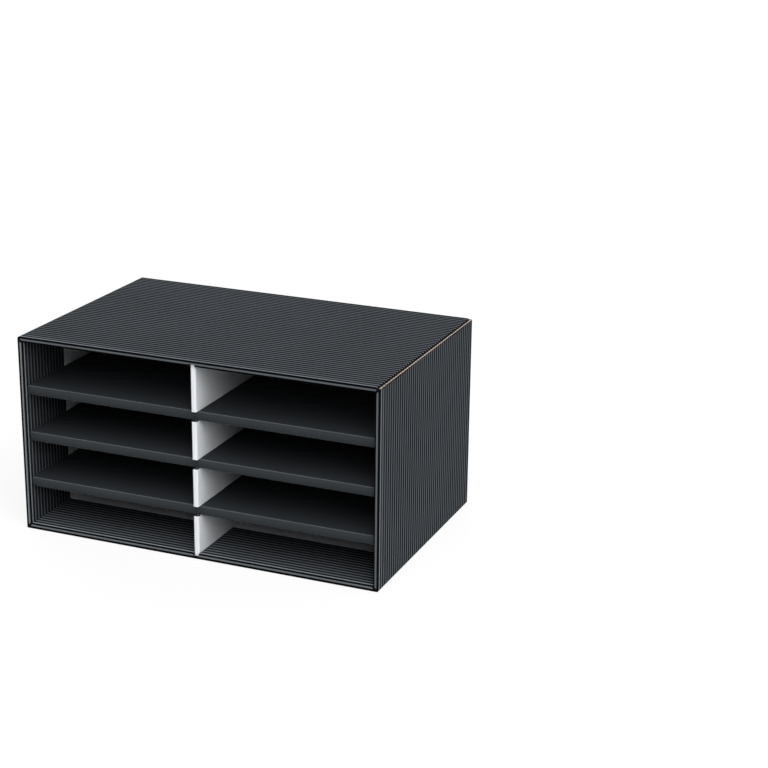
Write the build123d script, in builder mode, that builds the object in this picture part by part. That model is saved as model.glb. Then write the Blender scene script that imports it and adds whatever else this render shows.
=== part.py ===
from build123d import *
import os

os.makedirs("parts", exist_ok=True)

# A free-standing literature organizer of corrugated board: an outer sleeve whose front edges roll
# back inside, an inner frame that closes the back, three shelves and one divider in each row.
# X runs to the right, Y to the back and Z up, in millimetres.
# The origin is the middle of the rectangle that the organizer stands on.

# Overall size
outer_width = 495.3
outer_depth = 314.3
outer_height = 260.4

# Corrugated board, its folds and the play left where one board slides into another
board = 3.6
fold_radius = 2.4
corner_radius = 3.2
slot_play = 0.4

# Sleeve: how far the rolled front edge reaches inside, and the glued joint at the top right
liner_depth = 96.0
glue_flap_height = 35.0
raw_edge_drop = 0.8

# Open flutes at the raw top edge of the right panel
flute_pitch = 7.3
flute_opening = 4.6
flute_facing = 0.5
flute_web = 0.9
flute_depth = 8.0

# Rows and shelves
row_count = 4
shelf_setback = 9.0
lip_height = 12.0
shelf_tab_length = 45.0
front_tab_start = 40.0
rear_tab_gap = 22.0

# Dividers: two leaves folded at the front
divider_setback = 3.0
leaf_seam = 0.4
crease_depth = 0.8
crease_width = 1.6
divider_tab_length = 30.0
divider_tab_inset = 34.0
notch_play = 0.6

# Places that follow from the sizes above
front = -outer_depth / 2
back = outer_depth / 2
left = -outer_width / 2
right = outer_width / 2
rim = 2 * board
inner_left = left + rim
inner_right = right - rim
floor_top = rim
ceiling = outer_height - rim
row_clear = (ceiling - floor_top - (row_count - 1) * board) / row_count
shelf_tops = [floor_top + n * (row_clear + board) for n in range(1, row_count)]
shelf_front = front + shelf_setback
frame_front = front + liner_depth + slot_play
frame_back = back - board
shelf_back = frame_back - slot_play
divider_front = front + divider_setback
joint_x = right - board
glue_flap_foot = outer_height - board - glue_flap_height

# The mitred corners of the sleeve are cut to this far from its outside, past the liners
mitre = 2 * rim
mitre_left = left + mitre
mitre_right = right - mitre
mitre_top = outer_height - mitre

front_plane = Plane.XZ.offset(-front)

# The end tabs of a shelf: one goes into the liner, two go into the side of the inner frame
front_tab = (front + front_tab_start, front + front_tab_start + shelf_tab_length)
middle_tab = (frame_front + rear_tab_gap, frame_front + rear_tab_gap + shelf_tab_length)
rear_tab = (frame_back - rear_tab_gap - shelf_tab_length, frame_back - rear_tab_gap)

# The edge tabs of a divider: those that go down stand clear of those that come up from below
down_tabs = [
    (shelf_front + divider_tab_inset, shelf_front + divider_tab_inset + divider_tab_length),
    (shelf_back - 3 * divider_tab_inset - divider_tab_length, shelf_back - 3 * divider_tab_inset),
]
up_tabs = [
    (shelf_front + 3 * divider_tab_inset, shelf_front + 3 * divider_tab_inset + divider_tab_length),
    (shelf_back - divider_tab_inset - divider_tab_length, shelf_back - divider_tab_inset),
]


def middle(span):
    return (span[0] + span[1]) / 2


# Section of one side of the sleeve: depth behind the front, then distance in from the outside.
# The panel runs to the back, and its front end folds over and returns as the liner.
side_section = [
    (0, 0),
    (outer_depth, 0),
    (outer_depth, board),
    (liner_depth, board),
    (liner_depth, rim),
    (0, rim),
]

# Sleeve, left panel
with BuildPart() as sleeve_left:
    with BuildSketch(Plane(origin=(left, front, outer_height), x_dir=(0, 1, 0), z_dir=(0, 0, -1))) as section:
        with BuildLine():
            Polyline(side_section, close=True)
        make_face()
        fillet(section.vertices().group_by(Axis.X)[0], fold_radius)
    extrude(amount=outer_height)
    with BuildSketch(front_plane) as corners:
        with Locations((0, outer_height / 2)):
            Rectangle(outer_width, outer_height)
        fillet(corners.vertices().group_by(Axis.X)[0], corner_radius)
        with BuildLine():
            Polyline(
                (left, 0),
                (left, outer_height),
                (mitre_left, mitre_top),
                (mitre_left, mitre),
                close=True,
            )
        make_face(mode=Mode.INTERSECT)
    extrude(amount=outer_depth, dir=(0, 1, 0), mode=Mode.INTERSECT)
    # Slots for the front tabs of the shelves
    with Locations([(inner_left, middle(front_tab), top - board / 2) for top in shelf_tops]):
        Box(2 * board, shelf_tab_length + 2 * slot_play, board + slot_play, mode=Mode.SUBTRACT)
sleeve_left.part.label = "sleeve_left"
export_step(sleeve_left.part, "parts/sleeve_left.step")

# Sleeve, right panel: its top edge stays raw, outside the end of the top panel
with BuildPart() as sleeve_right:
    with BuildSketch(Plane(origin=(right, front, 0), x_dir=(0, 1, 0), z_dir=(0, 0, 1))) as section:
        with BuildLine():
            Polyline(side_section, close=True)
        make_face()
        fillet(section.vertices().group_by(Axis.X)[0], fold_radius)
    extrude(amount=outer_height)
    with BuildSketch(front_plane) as corners:
        with Locations((0, outer_height / 2)):
            Rectangle(outer_width, outer_height)
        fillet(corners.vertices().group_by(Axis.X)[-1].sort_by(Axis.Y)[0], corner_radius)
        with BuildLine():
            Polyline(
                (right, 0),
                (right, outer_height - raw_edge_drop),
                (joint_x, outer_height - raw_edge_drop),
                (joint_x, outer_height - board),
                (mitre_right, mitre_top),
                (mitre_right, mitre),
                close=True,
            )
        make_face(mode=Mode.INTERSECT)
    extrude(amount=outer_depth, dir=(0, 1, 0), mode=Mode.INTERSECT)
    with Locations([(inner_right, middle(front_tab), top - board / 2) for top in shelf_tops]):
        Box(2 * board, shelf_tab_length + 2 * slot_play, board + slot_play, mode=Mode.SUBTRACT)
    # Open flutes in the raw edge, arching alternately from the inner and from the outer facing
    with BuildSketch(Plane.XY.offset(outer_height - raw_edge_drop)):
        rise = board - 2 * flute_facing - flute_web
        for n in range(1, int((outer_depth - board) / flute_pitch)):
            for foot, crest, shift in (
                (joint_x + flute_facing, joint_x + flute_facing + rise, 0),
                (right - flute_facing, right - flute_facing - rise, flute_pitch / 2),
            ):
                place = front + n * flute_pitch + shift
                with BuildLine():
                    base = Line((foot, place - flute_opening / 2), (foot, place + flute_opening / 2))
                    ThreePointArc(base @ 0, (crest, place), base @ 1)
                make_face()
    extrude(amount=-flute_depth, mode=Mode.SUBTRACT)
sleeve_right.part.label = "sleeve_right"
export_step(sleeve_right.part, "parts/sleeve_right.step")

# Sleeve, bottom panel
with BuildPart() as sleeve_bottom:
    with BuildSketch(Plane(origin=(left, front, 0), x_dir=(0, 1, 0), z_dir=(1, 0, 0))) as section:
        with BuildLine():
            Polyline(side_section, close=True)
        make_face()
        fillet(section.vertices().group_by(Axis.X)[0], fold_radius)
    extrude(amount=outer_width)
    with BuildSketch(front_plane) as corners:
        with Locations((0, outer_height / 2)):
            Rectangle(outer_width, outer_height)
        fillet(corners.vertices().group_by(Axis.Y)[0], corner_radius)
        with BuildLine():
            Polyline((left, 0), (right, 0), (mitre_right, mitre), (mitre_left, mitre), close=True)
        make_face(mode=Mode.INTERSECT)
    extrude(amount=outer_depth, dir=(0, 1, 0), mode=Mode.INTERSECT)
    # The lowest divider stands in a slot right through the liner
    with Locations((0, front + liner_depth / 2, rim)):
        Box(rim + slot_play, 2 * liner_depth, 2 * board, mode=Mode.SUBTRACT)
sleeve_bottom.part.label = "sleeve_bottom"
export_step(sleeve_bottom.part, "parts/sleeve_bottom.step")

# Sleeve, top panel: at the right it ends at the fold of the glue flap
with BuildPart() as sleeve_top:
    with BuildSketch(Plane(origin=(right, front, outer_height), x_dir=(0, 1, 0), z_dir=(-1, 0, 0))) as section:
        with BuildLine():
            Polyline(side_section, close=True)
        make_face()
        fillet(section.vertices().group_by(Axis.X)[0], fold_radius)
    extrude(amount=outer_width)
    with BuildSketch(front_plane) as corners:
        with Locations((-board / 2, outer_height / 2)):
            Rectangle(outer_width - board, outer_height)
        fillet(corners.vertices().group_by(Axis.Y)[-1], corner_radius)
        with BuildLine():
            Polyline(
                (left, outer_height),
                (joint_x, outer_height),
                (joint_x, outer_height - board),
                (mitre_right, mitre_top),
                (mitre_left, mitre_top),
                close=True,
            )
        make_face(mode=Mode.INTERSECT)
    extrude(amount=outer_depth, dir=(0, 1, 0), mode=Mode.INTERSECT)
    # The highest divider reaches up through a slot in the liner
    with Locations((0, front + liner_depth / 2, ceiling)):
        Box(rim + slot_play, 2 * liner_depth, 2 * board, mode=Mode.SUBTRACT)
sleeve_top.part.label = "sleeve_top"
export_step(sleeve_top.part, "parts/sleeve_top.step")

# Sleeve, glue flap: folds down from the top panel and is glued to the inside of the right panel
with BuildPart() as glue_flap:
    with Locations((joint_x - board / 2, (frame_front + frame_back) / 2, outer_height - board)):
        Box(
            board,
            frame_back - frame_front,
            glue_flap_height,
            align=(Align.CENTER, Align.CENTER, Align.MAX),
        )
glue_flap.part.label = "glue_flap"
export_step(glue_flap.part, "parts/glue_flap.step")

# Inner frame, left side: lines the left panel behind the liner
with BuildPart() as frame_left:
    with Locations((left + 1.5 * board, (frame_front + frame_back) / 2, board)):
        Box(
            board,
            frame_back - frame_front,
            outer_height - 2 * board,
            align=(Align.CENTER, Align.CENTER, Align.MIN),
        )
    # Slots for the middle and rear tabs of the shelves
    for top in shelf_tops:
        for span in (middle_tab, rear_tab):
            with Locations((left + 1.5 * board, middle(span), top - board / 2)):
                Box(2 * board, shelf_tab_length + 2 * slot_play, board + slot_play, mode=Mode.SUBTRACT)
frame_left.part.label = "frame_left"
export_step(frame_left.part, "parts/frame_left.step")

# Inner frame, right side: ends below the glue flap
with BuildPart() as frame_right:
    with Locations((right - 1.5 * board, (frame_front + frame_back) / 2, board)):
        Box(
            board,
            frame_back - frame_front,
            glue_flap_foot - slot_play - board,
            align=(Align.CENTER, Align.CENTER, Align.MIN),
        )
    for top in shelf_tops:
        for span in (middle_tab, rear_tab):
            with Locations((right - 1.5 * board, middle(span), top - board / 2)):
                Box(2 * board, shelf_tab_length + 2 * slot_play, board + slot_play, mode=Mode.SUBTRACT)
frame_right.part.label = "frame_right"
export_step(frame_right.part, "parts/frame_right.step")

# Inner frame, back: closes the sleeve, and folds forward into the two sides
with BuildPart() as frame_back_panel:
    with Locations((0, frame_back, board)):
        Box(
            outer_width - 2 * board,
            board,
            outer_height - 2 * board,
            align=(Align.CENTER, Align.MIN, Align.MIN),
        )
    fillet(frame_back_panel.edges().filter_by(Axis.Z).group_by(Axis.Y)[-1], corner_radius)
frame_back_panel.part.label = "frame_back"
export_step(frame_back_panel.part, "parts/frame_back.step")

# Shelves, from the lowest: a board whose front folds down as a lip
for n, top in enumerate(shelf_tops, start=1):
    with BuildPart() as shelf:
        with BuildSketch(Plane(origin=(inner_left, shelf_front, top), x_dir=(0, 1, 0), z_dir=(1, 0, 0))) as profile:
            with BuildLine():
                Polyline(
                    (0, 0),
                    (shelf_back - shelf_front, 0),
                    (shelf_back - shelf_front, -board),
                    (board, -board),
                    (board, -lip_height),
                    (0, -lip_height),
                    close=True,
                )
            make_face()
            fillet(profile.vertices().group_by(Axis.Y)[-1].sort_by(Axis.X)[0], fold_radius)
        extrude(amount=inner_right - inner_left)
        # End tabs, as long as the side is thick
        for span in (front_tab, middle_tab, rear_tab):
            with Locations((0, middle(span), top)):
                Box(
                    outer_width - 2 * board,
                    shelf_tab_length,
                    board,
                    align=(Align.CENTER, Align.CENTER, Align.MAX),
                )
        # Slots for the tabs of the divider above and of the divider below
        for span in down_tabs + up_tabs:
            with Locations((0, middle(span), top - board / 2)):
                Box(rim + slot_play, divider_tab_length + slot_play, 2 * board, mode=Mode.SUBTRACT)
    shelf.part.label = f"shelf_{n}"
    export_step(shelf.part, f"parts/shelf_{n}.step")

# Dividers, from the lowest: two leaves with a rounded nose where the board is folded
divider_feet = [board] + shelf_tops
divider_heads = [top - board for top in shelf_tops] + [outer_height - board]
for n in range(row_count):
    foot = divider_feet[n]
    head = divider_heads[n]
    with BuildPart() as divider:
        with BuildSketch(Plane.XY.offset(foot)) as leaves:
            with Locations((0, divider_front)):
                Rectangle(rim, shelf_back - divider_front, align=(Align.CENTER, Align.MIN))
            fillet(leaves.vertices().group_by(Axis.Y)[0], fold_radius)
            # Crease at the nose, and the seam between the leaves behind it
            with BuildLine():
                Polyline(
                    (-crease_width / 2, divider_front),
                    (0, divider_front + crease_depth),
                    (crease_width / 2, divider_front),
                    close=True,
                )
            make_face(mode=Mode.SUBTRACT)
            with Locations((0, divider_front + board)):
                Rectangle(leaf_seam, outer_depth, align=(Align.CENTER, Align.MIN), mode=Mode.SUBTRACT)
        extrude(amount=head - foot)
        tabs = []
        if n > 0:
            tabs += [(span, foot - board) for span in down_tabs]
        if n < row_count - 1:
            tabs += [(span, head) for span in up_tabs]
            # The front corner is cut away under the lip of the shelf above
            with Locations((0, shelf_front + board + notch_play, head - lip_height + board - notch_play)):
                Box(
                    2 * rim,
                    outer_depth,
                    outer_height,
                    align=(Align.CENTER, Align.MAX, Align.MIN),
                    mode=Mode.SUBTRACT,
                )
        for span, height in tabs:
            for side in (-1, 1):
                with Locations((side * (rim + leaf_seam) / 4, middle(span), height)):
                    Box(
                        (rim - leaf_seam) / 2,
                        divider_tab_length,
                        board,
                        align=(Align.CENTER, Align.CENTER, Align.MIN),
                    )
    divider.part.label = f"divider_{n + 1}"
    export_step(divider.part, f"parts/divider_{n + 1}.step")
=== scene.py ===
# %% [markdown]
# # A literature organizer of corrugated board
#
# The organizer is folded from board: a striped sleeve whose front edges roll back inside, a pale
# inner frame, three charcoal shelves with a folded lip, and four pale dividers. The solids come
# from the imported frame and are already right in shape, so this lesson is about finishes: how
# printed corrugated board, its folds and its cut edges are described by numbers alone.
#
# The frame is loaded first, and its box is kept.

import math

import bpy
from mathutils import Matrix, Vector


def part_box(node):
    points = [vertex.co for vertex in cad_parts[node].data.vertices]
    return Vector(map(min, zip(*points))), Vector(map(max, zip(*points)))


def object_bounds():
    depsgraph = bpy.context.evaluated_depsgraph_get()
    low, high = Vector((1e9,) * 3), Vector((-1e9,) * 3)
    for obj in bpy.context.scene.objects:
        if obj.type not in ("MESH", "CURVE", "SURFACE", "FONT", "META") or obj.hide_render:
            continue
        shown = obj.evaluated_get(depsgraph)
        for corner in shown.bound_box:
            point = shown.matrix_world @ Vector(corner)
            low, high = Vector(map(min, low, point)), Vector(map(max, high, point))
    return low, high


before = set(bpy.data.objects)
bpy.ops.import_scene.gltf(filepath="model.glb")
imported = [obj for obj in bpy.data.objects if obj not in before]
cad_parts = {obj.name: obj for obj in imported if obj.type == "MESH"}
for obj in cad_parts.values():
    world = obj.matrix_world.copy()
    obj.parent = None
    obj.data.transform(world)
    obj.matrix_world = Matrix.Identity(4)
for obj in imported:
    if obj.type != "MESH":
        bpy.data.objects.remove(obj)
frame_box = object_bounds()
lowest, highest = frame_box
print("size in mm:", [round(1000 * (high - low), 1) for low, high in zip(lowest, highest)])

# %% [markdown]
# ## Camera
#
# A camera can be set by eye, or solved from the corners of the object. Here the seven visible
# corners of the box gave the distance, the two angles, the lens and a slight roll. The camera
# looks at a point to the right of the organizer, which puts the organizer left of the middle of
# the picture. A turned camera does this without any lens shift.

# %% Place the camera
PICTURE_WIDTH = 768
FOCAL_PIXELS = 1843.7
SENSOR_MM = 36.0
AIM = Vector((0.1880, 0.0, 0.2098))
DISTANCE = 2.316
AZIMUTH, ELEVATION, ROLL = (math.radians(angle) for angle in (22.17, 18.46, 0.71))

towards_camera = Vector(
    (
        math.sin(AZIMUTH) * math.cos(ELEVATION),
        -math.cos(AZIMUTH) * math.cos(ELEVATION),
        math.sin(ELEVATION),
    )
)
camera_data = bpy.data.cameras.new("camera")
camera_data.sensor_width = SENSOR_MM
camera_data.lens = FOCAL_PIXELS / PICTURE_WIDTH * SENSOR_MM
camera_data.clip_end = 100
camera = bpy.data.objects.new("camera", camera_data)
bpy.context.scene.collection.objects.link(camera)
level_turn = (-towards_camera).to_track_quat("-Z", "Y").to_matrix()
camera.matrix_world = Matrix.Translation(AIM + DISTANCE * towards_camera) @ (
    level_turn @ Matrix.Rotation(ROLL, 3, "Z")
).to_4x4()
bpy.context.scene.camera = camera
print("lens in mm:", round(camera_data.lens, 1))

# %% [markdown]
# ## A small language for finishes
#
# A material is a graph of nodes, and arithmetic in it takes one Math node for each sign. Written
# out, that is long and hard to read. So one small class wraps a socket, and its operators add the
# Math nodes: `1 - mask` is then a node, too. Every other node comes from one method, which takes
# the node's type, then its settings, then what goes into its sockets. The world is such a graph
# as well.

# %% Sockets that can be added and multiplied
MM_IN_METRE = 1000.0


class Wire:
    """What comes out of one socket. Arithmetic on it adds Math nodes to its graph."""

    def __init__(self, graph, socket):
        self.graph = graph
        self.socket = socket

    def __add__(self, other):
        return self.graph.math("ADD", self, other)

    def __sub__(self, other):
        return self.graph.math("SUBTRACT", self, other)

    def __rsub__(self, other):
        return self.graph.math("SUBTRACT", other, self)

    def __mul__(self, other):
        return self.graph.math("MULTIPLY", self, other)

    def __lt__(self, other):
        return self.graph.math("LESS_THAN", self, other)

    def __gt__(self, other):
        return self.graph.math("GREATER_THAN", self, other)

    __radd__ = __add__
    __rmul__ = __mul__


class Graph:
    """The nodes of a material or of the world."""

    def __init__(self, owner):
        owner.use_nodes = True
        self.tree = owner.node_tree
        self.tree.nodes.clear()

    def node(self, kind, settings=None, inputs=None, output=0):
        """Add a node of a kind: its settings first, then the values or wires of its sockets."""
        made = self.tree.nodes.new(kind)
        for setting, value in (settings or {}).items():
            setattr(made, setting, value)
        for socket, value in (inputs or {}).items():
            if isinstance(value, Wire):
                self.tree.links.new(value.socket, made.inputs[socket])
            else:
                made.inputs[socket].default_value = value
        return Wire(self, made.outputs[output]) if made.outputs else None

    def math(self, operation, *values):
        """One Math node, for what has no sign in Python."""
        return self.node("ShaderNodeMath", {"operation": operation}, dict(enumerate(values)))

    def step(self, value, start, end):
        """0 up to start, 1 from end on, and a soft slope between them."""
        return self.node(
            "ShaderNodeMapRange",
            {"interpolation_type": "SMOOTHSTEP"},
            {0: value, 1: start, 2: end, 3: 0.0, 4: 1.0},
        )

    def mix(self, factor, first, second):
        """A colour between two colours."""
        return self.node(
            "ShaderNodeMix", {"data_type": "RGBA"}, {0: factor, 6: first, 7: second}, output=2
        )

    def looked_at(self):
        """1 for a ray that looks, straight, in gloss or through glass, and 0 for any other."""
        straight, in_gloss, through = (
            self.node("ShaderNodeLightPath", output=f"Is {kind} Ray")
            for kind in ("Camera", "Glossy", "Transmission")
        )
        return self.math("MAXIMUM", straight, self.math("MAXIMUM", in_gloss, through))


class Finish(Graph):
    """The nodes of one material, with the place on the object in millimetres."""

    def __init__(self, name):
        self.material = bpy.data.materials.new(name)
        super().__init__(self.material)
        place = self.node("ShaderNodeTexCoord", output="Object")
        self.place = self.node(
            "ShaderNodeVectorMath", {"operation": "SCALE"}, {0: place, "Scale": MM_IN_METRE}
        )
        self.x, self.y, self.z = (
            self.node("ShaderNodeSeparateXYZ", {}, {0: self.place}, output=axis) for axis in "XYZ"
        )

    def noise(self, scale, detail=2.0, stretch=(1, 1, 1)):
        """Noise from 0 to 1: scale waves to the millimetre, and finer ones for more detail."""
        place = self.node(
            "ShaderNodeVectorMath", {"operation": "MULTIPLY"}, {0: self.place, 1: stretch}
        )
        return self.node(
            "ShaderNodeTexNoise", {}, {"Vector": place, "Scale": scale, "Detail": detail}
        )


def paint(*srgb):
    """A colour as a paint chart gives it, 0 to 255, turned into the light it sends back."""
    light = []
    for value in srgb:
        part = value / 255
        light.append(part / 12.92 if part <= 0.04045 else ((part + 0.055) / 1.055) ** 2.4)
    return [*light, 1.0]


print("half-way grey sends back", round(paint(128)[0], 3))

# %% [markdown]
# ## The paper surface
#
# Corrugated board is three papers: two flat facings and a fluted one between them. The glue lines
# of the flutes show through the facing as a faint washboard, and the paper itself is finely
# fibred. Both could be modelled in the mesh, but they are far too shallow for that, a few
# hundredths of a millimetre, so they are bump.

# %% Washboard and fibres
FLUTE_PITCH = 7.3
WASHBOARD_HEIGHT = 0.015
FIBRE_HEIGHT = 0.03
FIBRE_WAVES = 2.2
BUMP_STRENGTH = 0.5


def flute_wave(finish, across_flutes):
    """A wave between -1 and 1 that repeats with the flutes."""
    return finish.math("SINE", across_flutes * (2 * math.pi / FLUTE_PITCH))


def board_bump(finish, across_flutes):
    """The normal of board whose flutes repeat along the value given."""
    fibres = finish.noise(FIBRE_WAVES, detail=3.0)
    height = flute_wave(finish, across_flutes) * WASHBOARD_HEIGHT + fibres * FIBRE_HEIGHT
    return finish.node(
        "ShaderNodeBump",
        {},
        {"Strength": BUMP_STRENGTH, "Distance": 1 / MM_IN_METRE, "Height": height},
        output="Normal",
    )


print("washboard repeats every", FLUTE_PITCH, "mm")

# %% [markdown]
# The ink is matt, and laid a little unevenly, so its colour wanders by a few percent: in slow
# clouds, as the roller lays it, and in fine specks, as the fibres take it. A picture could hold
# that, but two noises need no file and are as sharp from close by. Every board finish then ends
# in the same two nodes, so one function adds them.

# %% Ink that wanders, and the last nodes of a finish
CLOUDS, CLOUD_WAVES = 0.2, 0.012
SPECKS, SPECK_WAVES = 0.12, 1.1
DARKEST_INK = 1 - (CLOUDS + SPECKS) / 2
MATT = 0.7
PAPER_SHINE = 0.1


def ink_wander(finish):
    """About 1, a little less or more in slow clouds and in fine specks."""
    clouds = finish.noise(CLOUD_WAVES) * CLOUDS
    specks = finish.noise(SPECK_WAVES) * SPECKS
    return DARKEST_INK + clouds + specks


def tint(finish, colour, amount):
    """A colour made lighter or darker by a value near 1."""
    if not isinstance(colour, Wire):
        colour = colour[:3]
    return finish.node(
        "ShaderNodeVectorMath", {"operation": "SCALE"}, {0: colour, "Scale": amount}
    )


def close(finish, colour, roughness, normal, shine=PAPER_SHINE):
    """The shader and the output, the last nodes of every board finish."""
    shader = finish.node(
        "ShaderNodeBsdfPrincipled",
        {},
        {
            "Base Color": colour,
            "Roughness": roughness,
            "Normal": normal,
            "Specular IOR Level": shine,
        },
    )
    finish.node("ShaderNodeOutputMaterial", {}, {"Surface": shader})
    return finish.material


print("ink wanders between", round(DARKEST_INK, 2), "and", round(2 - DARKEST_INK, 2))

# %% [markdown]
# ## Cut edges
#
# Where board is cut, its brown core shows: two thin facings and, between them, the hollows of the
# flutes. On an edge cut along the flutes the hollow is one dark, ragged line, its dark painted as
# the shade inside the flutes. It could be cut into the solid, as it is on the one edge that shows
# close up, further on. The other edges are less than 4 mm wide and face away from the front, so
# there the finish takes the distance through the board and draws the three bands.

# %% Brown core at a cut edge
BOARD = 3.6
KRAFT = paint(197, 184, 175)
HOLLOW_SHADE = paint(52, 41, 33)
HOLLOW_START, HOLLOW_FULL = 0.55, 1.0
HOLLOW_RAGGED, HOLLOW_WAVES = 0.5, 0.9
HOLLOW_SHOWS = 0.8


def cut_edge(finish, depth_in_board):
    """The colour of a cut edge, from the distance below one facing."""
    ragged = finish.noise(HOLLOW_WAVES, detail=3.0) * HOLLOW_RAGGED
    from_facing = finish.math("PINGPONG", depth_in_board, BOARD / 2)
    # The hollow is painted dark, as the shade inside the flutes
    hollow_shade = finish.step(from_facing + ragged, HOLLOW_START, HOLLOW_FULL)
    return finish.mix(hollow_shade * HOLLOW_SHOWS, KRAFT, HOLLOW_SHADE)


print("core colour:", [round(part, 2) for part in KRAFT[:3]])

# %% [markdown]
# ## The striped sleeve
#
# The sleeve is printed with pinstripes, light grey on near black, before it is folded. The
# stripes run along the front edge, so they depend on one number only: how far a point is from the
# front fold, measured on the paper. On the outside that is the depth behind the front. On the rim
# the paper turns inwards, so the number goes down as the point moves in, and on the liner it goes
# on down as the paper returns to the back. Written this way the stripes run round the fold
# without a break, as print does. The alternative is to unwrap each panel and paint on the flat
# sheet, but a formula needs no seams.
#
# A fold takes the print with it only to within a millimetre or so, so the stripe on the rim sits
# a little differently on each of the four panels.

# %% Stripes that follow the paper round the fold
WIDTH, DEPTH, HEIGHT = (MM_IN_METRE * (high - low) for low, high in zip(lowest, highest))
FRONT, BACK, RIGHT = -DEPTH / 2, DEPTH / 2, WIDTH / 2
RIM = 2 * BOARD
FOLD_RADIUS = 2.4
STRIPE_PITCH = 7.05
STRIPE_WIDTH = 2.35
STRIPE_SOFT = 0.15
STRIPE_RAGGED, STRIPE_WAVES = 0.2, 1.6
RIM_STRIPE = {"left": 5.0, "bottom": 5.2, "right": 3.6, "top": 3.2}


def stripes(finish, inset, depth, rim_stripe):
    """1 in a light stripe and 0 between stripes. One stripe runs on the rim, rim_stripe in."""
    paper_outside = depth - (depth < FOLD_RADIUS) * inset
    paper_inside = 0 - inset - depth
    is_inside = inset > RIM / 2
    paper = paper_outside * (1 - is_inside) + paper_inside * is_inside
    off_centre = finish.math("PINGPONG", paper + rim_stripe, STRIPE_PITCH / 2)
    ragged = (finish.noise(STRIPE_WAVES) - 0.5) * STRIPE_RAGGED
    edge = STRIPE_WIDTH / 2
    return 1 - finish.step(off_centre + ragged, edge - STRIPE_SOFT, edge + STRIPE_SOFT)


print("stripes repeat every", STRIPE_PITCH, "mm")

# %% [markdown]
# ### The ink, from the rim to the flat board
#
# On the rim the ink is at its fullest, light grey on near black. On the flat of the board the
# black is greyer and the stripes are quieter. Beside a fold the colour is painted paler, as light
# that falls on the front edge, and each of the four rims is painted paler or darker by an amount
# of its own, as painted light and shade of that rim. One colour for each stripe would be simpler,
# but then either the rims look washed out or the panels look harsh. So two pairs of colours are
# mixed, by the distance from the fold.

# %% Ink of the sleeve
HAIR = 0.01
STRIPE_GREY = paint(101, 106, 110)
STRIPE_BLACK = paint(14, 15, 17)
FLAT_GREY = paint(90, 95, 99)
FLAT_BLACK = paint(32, 34, 37)
PAINTED_LIGHT_BESIDE_RIM = 0.8
PAINTED_LIGHT_ON_RIM = {"left": 0.3, "bottom": -0.05, "right": -0.2, "top": -0.24}
NEAR_FOLD_START, NEAR_FOLD_END = 4.0, 14.0


def sleeve_ink(finish, panel, inset, depth, light):
    """The printed colour, and how much painted light makes it paler beside the folds."""
    outside = inset < HAIR
    on_liner = inset > RIM - HAIR
    on_rim = (1 - outside) * (1 - on_liner) * (depth < FOLD_RADIUS)
    near_fold = 1 - finish.step(depth, NEAR_FOLD_START, NEAR_FOLD_END)
    flat = outside + on_liner * (1 - near_fold)
    ink = finish.mix(
        light,
        finish.mix(flat, STRIPE_BLACK, FLAT_BLACK),
        finish.mix(flat, STRIPE_GREY, FLAT_GREY),
    )
    # Painted light: paler beside the folds, and paler or darker on each rim as light falls on it
    painted_light = (on_liner + outside) * PAINTED_LIGHT_BESIDE_RIM + on_rim * PAINTED_LIGHT_ON_RIM[panel]
    return ink, near_fold * painted_light


print("grey on the rim and on the flat:", round(STRIPE_GREY[0], 3), round(FLAT_GREY[0], 3))

# %% [markdown]
# ### The whole sleeve
#
# A panel of the sleeve also has faces without print: the inner face behind the liner, the end of
# the liner, and the cut at the back. They could be separate materials on picked faces. Here the
# place says enough: each of them is a range of depth and of distance in from the outer face.

# %% Colour of the sleeve, with its unprinted faces
LINER_DEPTH = 96.0
PRINT_OVERLAP = 0.2
PALE = paint(230, 233, 237)
MITRE_DARK, MITRE_CLEAR = 1.8, 2.4
MITRE_DEPTH = 3.4


def sleeve_colour(finish, panel, inset, across):
    """The sleeve's colour, its light stripes, and its cut faces.

    inset is the distance in from the panel's outer face, across the distance in from the
    nearest of the two panels that this one meets.
    """
    depth = finish.y - FRONT
    light = stripes(finish, inset, depth, RIM_STRIPE[panel])
    ink, painted_light = sleeve_ink(finish, panel, inset, depth, light)
    # Behind the liner the inner face is not printed
    behind = (depth > LINER_DEPTH + PRINT_OVERLAP) * (inset > BOARD / 2)
    colour = finish.mix(behind, ink, PALE)
    # Painted light beside the folds makes the colour paler here
    colour = tint(finish, colour, ink_wander(finish) * (1 + painted_light))
    # Where two rims meet at a mitre, the cut holds a little shade
    off_mitre = finish.math("ABSOLUTE", inset - across)
    shade = 1 - finish.step(off_mitre, MITRE_DARK, MITRE_CLEAR)
    colour = finish.mix(shade * (depth < MITRE_DEPTH), colour, STRIPE_BLACK)
    # The sleeve is cut at its back, and its liner where it ends
    liner_end = (depth > LINER_DEPTH - HAIR) * (inset > BOARD + HAIR)
    cut = finish.math("MAXIMUM", finish.y > BACK - HAIR, liner_end)
    return finish.mix(cut, colour, cut_edge(finish, inset)), light, cut


print("liner ends", LINER_DEPTH, "mm behind the front")

# %% [markdown]
# ### Three of the four panels
#
# The same print runs through all panels, and only what counts as inwards differs: to the right on
# the left panel, up on the bottom one, down on the top one. Four materials could be drawn one by
# one. Instead one function makes them, from two lengths: how far in a point is from the outer
# face, and how far from the nearest of the panels that this one meets. The ink is dead matt. With
# any gloss, the white around it would lay a grey veil over its black at low angles.

# %% Finishes of the left, bottom and top panels
FOLD_SHADE = 1.4
INK_SHINE = 0.0
STRIPE_SMOOTHER = 0.05
CUT_ROUGHER = 0.2


def nearest(finish, value, low, high):
    """The distance of a value from the nearer of two limits."""
    return finish.math("MINIMUM", value - low, high - value)


def between_sides(finish):
    return nearest(finish, finish.x, -RIGHT, RIGHT)


def between_top_and_bottom(finish):
    return nearest(finish, finish.z, 0.0, HEIGHT)


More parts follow.
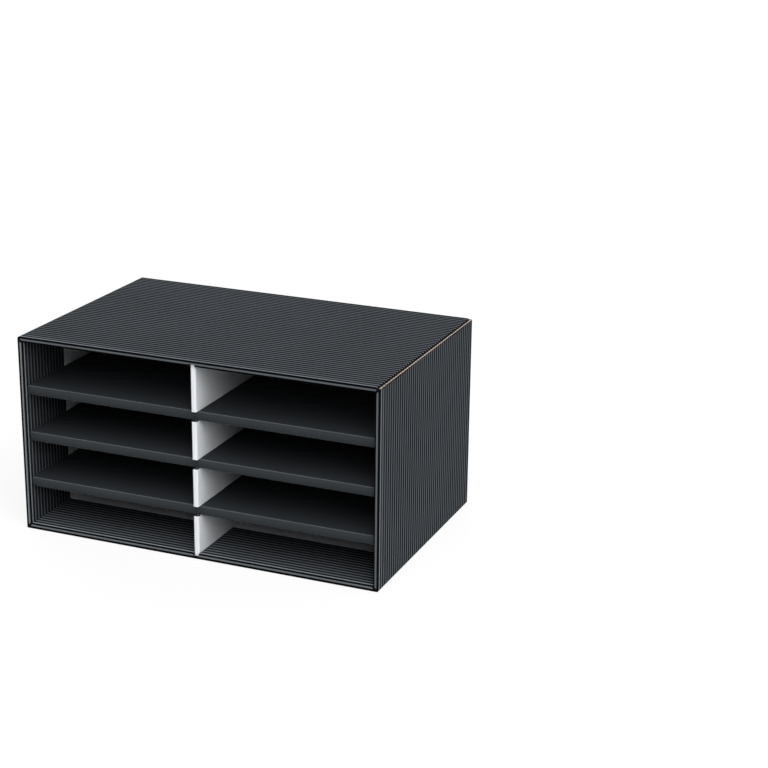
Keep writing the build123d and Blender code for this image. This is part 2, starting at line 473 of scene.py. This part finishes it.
def striped_board(panel, inset_of, across_of):
    finish = Finish("striped_board_" + panel)
    colour, light, cut = sleeve_colour(finish, panel, inset_of(finish), across_of(finish))
    if panel == "top":
        # The fold beside the raw edge of the right panel is in its own shade
        colour = finish.mix(finish.x > RIGHT - BOARD - FOLD_SHADE, colour, STRIPE_BLACK)
    roughness = MATT - light * STRIPE_SMOOTHER + cut * CUT_ROUGHER
    return close(finish, colour, roughness, board_bump(finish, finish.y), INK_SHINE)


SLEEVE_FINISHES = {
    "sleeve_left": striped_board("left", lambda f: f.x + RIGHT, between_top_and_bottom),
    "sleeve_bottom": striped_board("bottom", lambda f: f.z, between_sides),
    "sleeve_top": striped_board("top", lambda f: HEIGHT - f.z, between_sides),
}
print("striped finishes:", sorted(SLEEVE_FINISHES))

# %% [markdown]
# ### The right panel and its raw edge
#
# The blank is glued shut at the top right. There the right panel ends in a raw edge beside the
# fold of the top panel, a thin brown line along the whole depth. The open flutes are in the
# solid, as this edge is in plain view and a drawn row of holes would look flat from close by. The
# finish only has to know which faces belong to the core: all that is on the raw edge, or below it
# between the two facings.

# %% Which faces of the right panel are core
RAW_EDGE_DROP = 0.8
FLUTE_DEPTH = 8.0
PAST_FLUTES = 0.5
FIRST_FLUTE = 4.5
FACING = 0.3


def raw_core(finish, inset, below_edge, behind_fold):
    """1 on the raw edge and inside the open flutes."""
    in_core = (inset > FACING) * (inset < BOARD - FACING) * behind_fold
    in_flutes = in_core * (below_edge < FLUTE_DEPTH + PAST_FLUTES)
    return finish.math("MAXIMUM", below_edge < HAIR, in_flutes)


print("open flutes are", FLUTE_DEPTH, "mm deep")

# %% [markdown]
# The core is light brown at the very edge and dark inside the flutes. The lamps could be left to
# make that shade, but this studio is lit evenly, and it would be weak. So the finish darkens the
# core with the distance below the edge and in from the outer facing. Over each flute the knife
# also crushed the printed facing, which shows brown for the first few millimetres below the edge.

# %% Right panel with a brown raw edge
CORE_LIT, CORE_DARK = 0.3, 2.5
CORE_INNER_LIT, CORE_INNER_DARK = 1.4, 1.8
TORN_RAGGED, TORN_WAVES = 0.8, 0.8
CRUSHED_START, CRUSHED_FULL = 0.2, 0.6
CRUSHED_HEIGHT = 2.6


def raw_edge_board():
    finish = Finish("striped_board_right")
    inset = RIGHT - finish.x
    colour, light, cut = sleeve_colour(finish, "right", inset, between_top_and_bottom(finish))
    below_edge = HEIGHT - RAW_EDGE_DROP - finish.z
    behind_fold = finish.y > FRONT + FIRST_FLUTE
    core = raw_core(finish, inset, below_edge, behind_fold)
    ragged = (finish.noise(TORN_WAVES, detail=3.0) - 0.5) * TORN_RAGGED
    # Painted shade of the core: darker below the edge and in from the outer facing
    shade = finish.math(
        "MAXIMUM",
        finish.step(below_edge, CORE_LIT, CORE_DARK),
        finish.step(inset + ragged, CORE_INNER_LIT, CORE_INNER_DARK),
    )
    over_flute = flute_wave(finish, finish.y - FRONT) + ragged
    crushed = finish.step(over_flute, CRUSHED_START, CRUSHED_FULL) * (below_edge < CRUSHED_HEIGHT)
    # The crushed facing takes the dark brown of the hollows' painted shade
    colour = finish.mix(crushed * behind_fold, colour, HOLLOW_SHADE)
    colour = finish.mix(core, colour, finish.mix(shade, KRAFT, HOLLOW_SHADE))
    rougher = finish.math("MAXIMUM", cut, core) * CUT_ROUGHER
    roughness = MATT - light * STRIPE_SMOOTHER + rougher
    return close(finish, colour, roughness, board_bump(finish, finish.y), INK_SHINE)


SLEEVE_FINISHES["sleeve_right"] = raw_edge_board()
print("striped finishes:", sorted(SLEEVE_FINISHES))

# %% [markdown]
# ## Charcoal shelves
#
# The shelves are charcoal all over. Where the board folds down into the lip there is a light
# line, partly ink stretched and rubbed in use, and partly a painted highlight of the fold. It is
# the first thing the eye finds in each row, so it is worth its own mask. Blender can find edges
# by their curvature, but that depends on how fine the mesh is. The distance from the front edge
# of the shelf's own box doesn't.

# %% Masks of a shelf: its lip, its rubbed and highlighted fold and its cut edges
LIP_START, LIP_FULL = -1.0, 0.5
FOLD_LINE_FULL, FOLD_LINE_END = 0.5, 1.35


def shelf_masks(finish, low, high, behind_edge, below_edge):
    """1 on the lip, 1 at the fold's rub and painted highlight, and 1 on the cut edges, with soft
    slopes.
    """
    on_lip = finish.step(below_edge - behind_edge, LIP_START, LIP_FULL)
    from_fold = finish.math("SQRT", behind_edge * behind_edge + below_edge * below_edge)
    rub_and_highlight = 1 - finish.step(from_fold, FOLD_LINE_FULL, FOLD_LINE_END)
    cut = finish.math("MAXIMUM", finish.z < low.z + HAIR, finish.y > high.y - HAIR)
    return on_lip, rub_and_highlight, cut


print("a fold is rubbed over", FOLD_LINE_END, "mm")

# %% [markdown]
# No fold is rubbed alike all along, nor is its painted highlight. Both could be painted by hand,
# but one noise does it, which changes along the width and hardly at all down the fold. The lip is
# paler than the top of the shelf, and is painted a little darker towards its foot, as shade.

# %% Charcoal board with a rubbed, highlighted fold and a shaded lip
CHARCOAL = paint(34, 37, 40)
LIP_CHARCOAL = paint(50, 54, 57)
LIP_FOOT_SHADE = paint(38, 42, 45)
LIP_SHADE_START, LIP_SHADE_END = 3.0, 12.0
RUB_AND_HIGHLIGHT = paint(112, 115, 117)
LEAST_FOLD_LINE, FOLD_LINE_RANGE = 0.55, 0.7
FOLD_LINE_WAVES, FOLD_LINE_STRETCH = 0.08, (1, 0.2, 0.2)
RUB_SMOOTHER = 0.1


def charcoal_board(name, node):
    finish = Finish(name)
    low, high = (MM_IN_METRE * Vector(corner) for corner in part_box(node))
    behind_edge = finish.y - low.y
    below_edge = high.z - finish.z
    on_lip, rub_and_highlight, cut = shelf_masks(finish, low, high, behind_edge, below_edge)
    # Painted shade: the lip grows darker towards its foot
    lip_shade = finish.step(below_edge, LIP_SHADE_START, LIP_SHADE_END)
    lip = finish.mix(lip_shade, LIP_CHARCOAL, LIP_FOOT_SHADE)
    colour = tint(finish, finish.mix(on_lip, CHARCOAL, lip), ink_wander(finish))
    fold_line_strength = LEAST_FOLD_LINE + finish.noise(FOLD_LINE_WAVES, 4.0, FOLD_LINE_STRETCH) * FOLD_LINE_RANGE
    # The light line at the fold is rub and painted highlight
    colour = finish.mix(rub_and_highlight * fold_line_strength, colour, RUB_AND_HIGHLIGHT)
    through = finish.math("MINIMUM", behind_edge, below_edge)
    colour = finish.mix(cut, colour, cut_edge(finish, through))
    roughness = MATT - rub_and_highlight * RUB_SMOOTHER
    return close(finish, colour, roughness, board_bump(finish, finish.y))


SHELF_FINISHES = {
    node: charcoal_board("charcoal_board_" + node, node)
    for node in sorted(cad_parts)
    if node.startswith("shelf")
}
print("shelves:", sorted(SHELF_FINISHES))

# %% [markdown]
# ## Pale dividers and inner frame
#
# The dividers and the inner frame show the unprinted side of the board, a pale, cool grey. One
# plain grey would do from afar, but close up it looks like plastic. So the glue on the tips of
# the flutes shows through the thin facing as faint, darker lines. The cut top and bottom edges of
# a divider show the core, mostly hollow between the facings, and the hollow is painted dark as
# shade. A face knows where it looks, so the edges are found by that: those of a divider face up
# and down.

# %% Pale board
GLUE_LINE = 0.03
GLUE_START, GLUE_FULL = 0.2, 1.0
PALE_LEVEL = 0.985
PALE_WANDER = 0.4
DEEP_HOLLOW_SHADE = paint(22, 19, 17)
CORE_START, CORE_FULL, CORE_WAVES = 0.25, 0.35, 0.7
FACES_ALONG = 0.9


def pale_board(name, across="y", cut_along=None):
    """Pale board.

    across is the axis across its flutes, and cut_along the one along which its cut edges face,
    if any of them show.
    """
    finish = Finish(name)
    across_flutes = getattr(finish, across)
    glue = finish.step(flute_wave(finish, across_flutes), GLUE_START, GLUE_FULL) * GLUE_LINE
    amount = PALE_LEVEL + (ink_wander(finish) - 1) * PALE_WANDER - glue
    colour = tint(finish, PALE, amount)
    if cut_along:
        normal = finish.node("ShaderNodeNewGeometry", output="True Normal")
        along = finish.node("ShaderNodeSeparateXYZ", {}, {0: normal}, output=cut_along)
        cut = finish.math("ABSOLUTE", along) > FACES_ALONG
        # The hollow between the facings is painted dark, as shade
        hollow_shade = finish.step(finish.noise(CORE_WAVES, detail=3.0), CORE_START, CORE_FULL)
        colour = finish.mix(cut, colour, finish.mix(hollow_shade, KRAFT, DEEP_HOLLOW_SHADE))
    return close(finish, colour, MATT, board_bump(finish, across_flutes))


PALE_SIDES = pale_board("pale_board_sides")
PALE_BACK = pale_board("pale_board_back", across="x")
PALE_DIVIDER = pale_board("pale_board_divider", cut_along="Z")
PALE_FLAP = pale_board("pale_board_flap", cut_along="Y")
print("pale finishes made, their flutes", FLUTE_PITCH, "mm apart")

# %% [markdown]
# ## Dressing the solids
#
# The solids stay as they are, so each one only has its material slots filled. Finishes could be
# picked by hand, one solid at a time. The names of the pieces already say what each is made of.

# %% Give every solid its finish
for node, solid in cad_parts.items():
    if node in SLEEVE_FINISHES:
        finish = SLEEVE_FINISHES[node]
    elif node in SHELF_FINISHES:
        finish = SHELF_FINISHES[node]
    elif node.startswith("divider"):
        finish = PALE_DIVIDER
    elif node == "glue_flap":
        finish = PALE_FLAP
    elif node == "frame_back":
        finish = PALE_BACK
    else:
        finish = PALE_SIDES
    solid.data.materials.clear()
    solid.data.materials.append(finish)
    print(node, "is", finish.name)

# %% [markdown]
# ## Studio
#
# A product like this is photographed on white, in light so even that no face is dark. Lamps close
# by fall off across an object as wide as this one, so these are far, and wide enough for soft
# shadows. The main one stands high at the front right and lights the front and the top alike. It
# is high enough to leave the depth of the compartments in shade. The second is at the right and a
# little behind, where it reaches the right panel and leaves the front alone. The third, at the
# back left, is for the faces that this camera doesn't see.

# %% Light the studio
def lamp(name, direction, softness, strength):
    """A far lamp as wide as its angle. Strength 1 shows a facing colour as it is written."""
    data = bpy.data.lights.new(name, "SUN")
    data.angle = math.radians(softness)
    data.energy = strength * math.pi
    made = bpy.data.objects.new(name, data)
    made.rotation_euler = Vector(direction).to_track_quat("Z", "Y").to_euler()
    bpy.context.scene.collection.objects.link(made)
    print(name, "lamp:", strength)


WIDE = 60
lamp("front_right", (0.62, -1, 1.4), WIDE, 1.18)
lamp("right", (1, 0.35, 0.3), WIDE, 0.46)
lamp("back_left", (-1, 1, 0.3), WIDE, 0.6)

# %% [markdown]
# ## White all round
#
# The weak glow of the world fills the shadows. The white that shows behind the organizer could
# come from more light, but that would wash out the board. So the world is white only where it is
# looked at, straight, in gloss or through glass, and it stays weak for the rays that gather
# light.

# %% Set the world
GLOW = 0.065
WHITE = (1, 1, 1, 1)

world = bpy.data.worlds.new("studio")
bpy.context.scene.world = world
sky = Graph(world)
backdrop = sky.node(
    "ShaderNodeBackground",
    {},
    {"Color": WHITE, "Strength": GLOW + sky.looked_at() * (1 - GLOW)},
)
sky.node("ShaderNodeOutputWorld", {}, {"Surface": backdrop})
print("glow", GLOW)

# %% [markdown]
# ## Floor
#
# The floor is a plain pale sheet that runs on out of view. It could be left out and only its
# shadow kept, but a real floor also throws light back on the organizer, and this does so from its
# own grey. Looked at, it is lifted almost to white, and the soft shadow of the organizer stays on
# it.

# %% Lay the floor
FLOOR_SIZE = 60
FLOOR_GREY = (0.55, 0.55, 0.55, 1)
FLOOR_WHITE = (0.9, 0.9, 0.9, 1)
FLOOR_LIFT = 0.8

bpy.ops.object.select_all(action="DESELECT")
bpy.ops.mesh.primitive_plane_add(size=FLOOR_SIZE)
floor = bpy.context.object
floor.name = "floor"
sheet = Finish("floor_sheet")
looked_at = sheet.looked_at()
paper = sheet.node(
    "ShaderNodeBsdfDiffuse", {}, {"Color": sheet.mix(looked_at, FLOOR_GREY, FLOOR_WHITE)}
)
lifted = sheet.node("ShaderNodeEmission", {}, {"Color": WHITE, "Strength": 1.0})
blend = sheet.node("ShaderNodeMixShader", {}, {0: looked_at * FLOOR_LIFT, 1: paper, 2: lifted})
sheet.node("ShaderNodeOutputMaterial", {}, {"Surface": blend})
floor.data.materials.append(sheet.material)
print("floor is", round(floor.dimensions.x), "m wide")

# %% [markdown]
# ## Close
#
# The colours go out as they are, with no film look.

# %% Close the scene
bpy.context.scene.view_settings.view_transform = "Standard"
